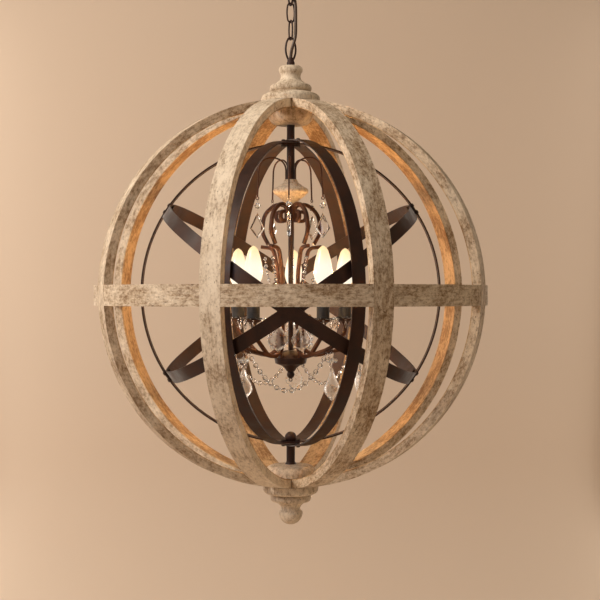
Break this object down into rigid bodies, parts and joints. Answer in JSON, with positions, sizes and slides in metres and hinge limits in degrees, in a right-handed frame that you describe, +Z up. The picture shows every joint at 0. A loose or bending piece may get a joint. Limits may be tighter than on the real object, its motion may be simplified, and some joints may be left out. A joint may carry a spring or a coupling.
{
  "type": "orb chandelier",
  "caption": "Orb chandelier with a cage of weathered wooden ribs, bolted iron rings, and a small crystal chandelier with candle lights inside, hung on a short chain.",
  "frame": {"origin": "on the ceiling, at the middle of the crossbar, over the middle of the orb", "axes": "+Z up, -Y to the front, +X to the right seen from the front"},
  "size_m": [0.75, 0.75, 1.0797],
  "materials": {
    "dark_iron": "satin",
    "bolt_steel": "satin",
    "cable_sheath": "satin",
    "weathered_wood": "matte",
    "bronze_iron": "satin",
    "candle_black": "matte",
    "socket_plastic": "matte",
    "clear_glass": "polished",
    "bulb_glass": "polished",
    "crystal": "polished"
  },
  "bodies": {
    "ceiling": {"canopy": "dark_iron", "ceiling_crossbar": "dark_iron", "canopy_loop": "dark_iron", "power_cable_upper": "cable_sheath"},
    "upper_link": {"chain_link_upper": "dark_iron", "power_cable_middle": "cable_sheath"},
    "lower_link": {"chain_link_lower": "dark_iron", "power_cable_lower": "cable_sheath"},
    "orb": {"arched_wires": "bronze_iron", "arms": "bronze_iron", "bottom_boss": "weathered_wood", "bottom_finial": "weathered_wood", "bottom_hub": "bronze_iron", "bottom_rod": "dark_iron", "candle_cups": "bronze_iron", "candle_sleeves": "candle_black", "centre_rod": "dark_iron", "glass_dishes": "clear_glass", "hanging_loop": "dark_iron", "iron_ring_cross_a": "dark_iron", "iron_ring_cross_b": "dark_iron", "iron_ring_face": "dark_iron", "iron_ring_left": "dark_iron", "iron_ring_right": "dark_iron", "lamp_sockets": "socket_plastic", "ring_bolts": "bolt_steel", "spool": "weathered_wood", "top_boss": "weathered_wood", "top_finial": "weathered_wood", "upper_scrolls": "bronze_iron", "wooden_belt": "weathered_wood", "wooden_hoop_1": "weathered_wood", "wooden_hoop_2": "weathered_wood", "wooden_hoop_3": "weathered_wood", "wooden_hoop_4": "weathered_wood"},
    "bulb_1": {"bulb_1": "bulb_glass"},
    "upper_drop_1": {"upper_drop_1": "crystal"},
    "lower_drop_1": {"lower_drop_1": "crystal"},
    "leaf_drop_1": {"leaf_drop_1": "crystal"},
    "swag_1": {"swag_1": "crystal"},
    "bulb_2": {"bulb_2": "bulb_glass"},
    "upper_drop_2": {"upper_drop_2": "crystal"},
    "lower_drop_2": {"lower_drop_2": "crystal"},
    "leaf_drop_2": {"leaf_drop_2": "crystal"},
    "swag_2": {"swag_2": "crystal"},
    "bulb_3": {"bulb_3": "bulb_glass"},
    "upper_drop_3": {"upper_drop_3": "crystal"},
    "lower_drop_3": {"lower_drop_3": "crystal"},
    "leaf_drop_3": {"leaf_drop_3": "crystal"},
    "swag_3": {"swag_3": "crystal"},
    "bulb_4": {"bulb_4": "bulb_glass"},
    "upper_drop_4": {"upper_drop_4": "crystal"},
    "lower_drop_4": {"lower_drop_4": "crystal"},
    "leaf_drop_4": {"leaf_drop_4": "crystal"},
    "swag_4": {"swag_4": "crystal"},
    "bulb_5": {"bulb_5": "bulb_glass"},
    "upper_drop_5": {"upper_drop_5": "crystal"},
    "lower_drop_5": {"lower_drop_5": "crystal"},
    "leaf_drop_5": {"leaf_drop_5": "crystal"},
    "swag_5": {"swag_5": "crystal"}
  },
  "joints": [
    {"name": "upper_chain_swing", "type": "hinge", "parent": "ceiling", "child": "upper_link", "pos_m": [0, 0, -0.0796], "axis": [-0.4226, 0.9063, 0], "range_deg": [-25, 25], "deforming": ["power_cable_upper"]},
    {"name": "middle_chain_swing", "type": "hinge", "parent": "upper_link", "child": "lower_link", "pos_m": [0, 0, -0.1126], "axis": [0.9063, 0.4226, 0], "range_deg": [-25, 25], "deforming": ["power_cable_middle"]},
    {"name": "lower_chain_swing", "type": "hinge", "parent": "lower_link", "child": "orb", "pos_m": [0, 0, -0.1459], "axis": [-0.4226, 0.9063, 0], "range_deg": [-25, 25], "deforming": ["power_cable_lower"]},
    {"name": "bulb_1_lift", "type": "slide", "parent": "orb", "child": "bulb_1", "axis": [0, 0, 1], "range_m": [0, 0.028]},
    {"name": "bulb_2_lift", "type": "slide", "parent": "orb", "child": "bulb_2", "axis": [0, 0, 1], "range_m": [0, 0.028]},
    {"name": "bulb_3_lift", "type": "slide", "parent": "orb", "child": "bulb_3", "axis": [0, 0, 1], "range_m": [0, 0.028]},
    {"name": "bulb_4_lift", "type": "slide", "parent": "orb", "child": "bulb_4", "axis": [0, 0, 1], "range_m": [0, 0.028]},
    {"name": "bulb_5_lift", "type": "slide", "parent": "orb", "child": "bulb_5", "axis": [0, 0, 1], "range_m": [0, 0.028]},
    {"name": "upper_drop_1_swing", "type": "hinge", "parent": "orb", "child": "upper_drop_1", "pos_m": [-0.00345, -0.06591, -0.4557], "axis": [-0.0523, -0.9986, 0], "range_deg": [-18, 18]},
    {"name": "upper_drop_2_swing", "type": "hinge", "parent": "orb", "child": "upper_drop_2", "pos_m": [0.06162, -0.02365, -0.4557], "axis": [0.9336, -0.3584, 0], "range_deg": [-18, 18]},
    {"name": "upper_drop_3_swing", "type": "hinge", "parent": "orb", "child": "upper_drop_3", "pos_m": [0.04154, 0.05129, -0.4557], "axis": [0.6293, 0.7771, 0], "range_deg": [-18, 18]},
    {"name": "upper_drop_4_swing", "type": "hinge", "parent": "orb", "child": "upper_drop_4", "pos_m": [-0.03595, 0.05535, -0.4557], "axis": [-0.5446, 0.8387, 0], "range_deg": [-18, 18]},
    {"name": "upper_drop_5_swing", "type": "hinge", "parent": "orb", "child": "upper_drop_5", "pos_m": [-0.06375, -0.01708, -0.4557], "axis": [-0.9659, -0.2588, 0], "range_deg": [-18, 18]},
    {"name": "lower_drop_1_swing", "type": "hinge", "parent": "orb", "child": "lower_drop_1", "pos_m": [-0.08685, -0.10725, -0.7425], "axis": [-0.6293, -0.7771, 0], "range_deg": [-15, 15]},
    {"name": "lower_drop_2_swing", "type": "hinge", "parent": "orb", "child": "lower_drop_2", "pos_m": [0.07516, -0.11574, -0.7425], "axis": [0.5446, -0.8387, 0], "range_deg": [-15, 15]},
    {"name": "lower_drop_3_swing", "type": "hinge", "parent": "orb", "child": "lower_drop_3", "pos_m": [0.1333, 0.03572, -0.7425], "axis": [0.9659, 0.2588, 0], "range_deg": [-15, 15]},
    {"name": "lower_drop_4_swing", "type": "hinge", "parent": "orb", "child": "lower_drop_4", "pos_m": [0.00722, 0.13781, -0.7425], "axis": [0.0523, 0.9986, 0], "range_deg": [-15, 15]},
    {"name": "lower_drop_5_swing", "type": "hinge", "parent": "orb", "child": "lower_drop_5", "pos_m": [-0.12883, 0.04945, -0.7425], "axis": [-0.9336, 0.3584, 0], "range_deg": [-15, 15]},
    {"name": "leaf_drop_1_swing", "type": "hinge", "parent": "orb", "child": "leaf_drop_1", "pos_m": [-0.02391, -0.02953, -0.6822], "axis": [-0.6293, -0.7771, 0], "range_deg": [-5, 5]},
    {"name": "leaf_drop_2_swing", "type": "hinge", "parent": "orb", "child": "leaf_drop_2", "pos_m": [0.0207, -0.03187, -0.6822], "axis": [0.5446, -0.8387, 0], "range_deg": [-5, 5]},
    {"name": "leaf_drop_3_swing", "type": "hinge", "parent": "orb", "child": "leaf_drop_3", "pos_m": [0.03671, 0.00983, -0.6822], "axis": [0.9659, 0.2588, 0], "range_deg": [-5, 5]},
    {"name": "leaf_drop_4_swing", "type": "hinge", "parent": "orb", "child": "leaf_drop_4", "pos_m": [0.00199, 0.03795, -0.6822], "axis": [0.0523, 0.9986, 0], "range_deg": [-5, 5]},
    {"name": "leaf_drop_5_swing", "type": "hinge", "parent": "orb", "child": "leaf_drop_5", "pos_m": [-0.03548, 0.01362, -0.6822], "axis": [-0.9336, 0.3584, 0], "range_deg": [-5, 5]},
    {"name": "swag_1_swing", "type": "hinge", "parent": "orb", "child": "swag_1", "pos_m": [-0.07555, -0.09838, -0.7461], "axis": [0.9986, -0.0523, 0], "range_deg": [-12, 12]},
    {"name": "swag_2_swing", "type": "hinge", "parent": "orb", "child": "swag_2", "pos_m": [0.07022, -0.10225, -0.7461], "axis": [0.3584, 0.9336, 0], "range_deg": [-12, 12]},
    {"name": "swag_3_swing", "type": "hinge", "parent": "orb", "child": "swag_3", "pos_m": [0.11895, 0.03519, -0.7461], "axis": [-0.7771, 0.6293, 0], "range_deg": [-12, 12]},
    {"name": "swag_4_swing", "type": "hinge", "parent": "orb", "child": "swag_4", "pos_m": [0.00329, 0.124, -0.7461], "axis": [-0.8387, -0.5446, 0], "range_deg": [-12, 12]},
    {"name": "swag_5_swing", "type": "hinge", "parent": "orb", "child": "swag_5", "pos_m": [-0.11691, 0.04145, -0.7461], "axis": [0.2588, -0.9659, 0], "range_deg": [-12, 12]}
  ]
}
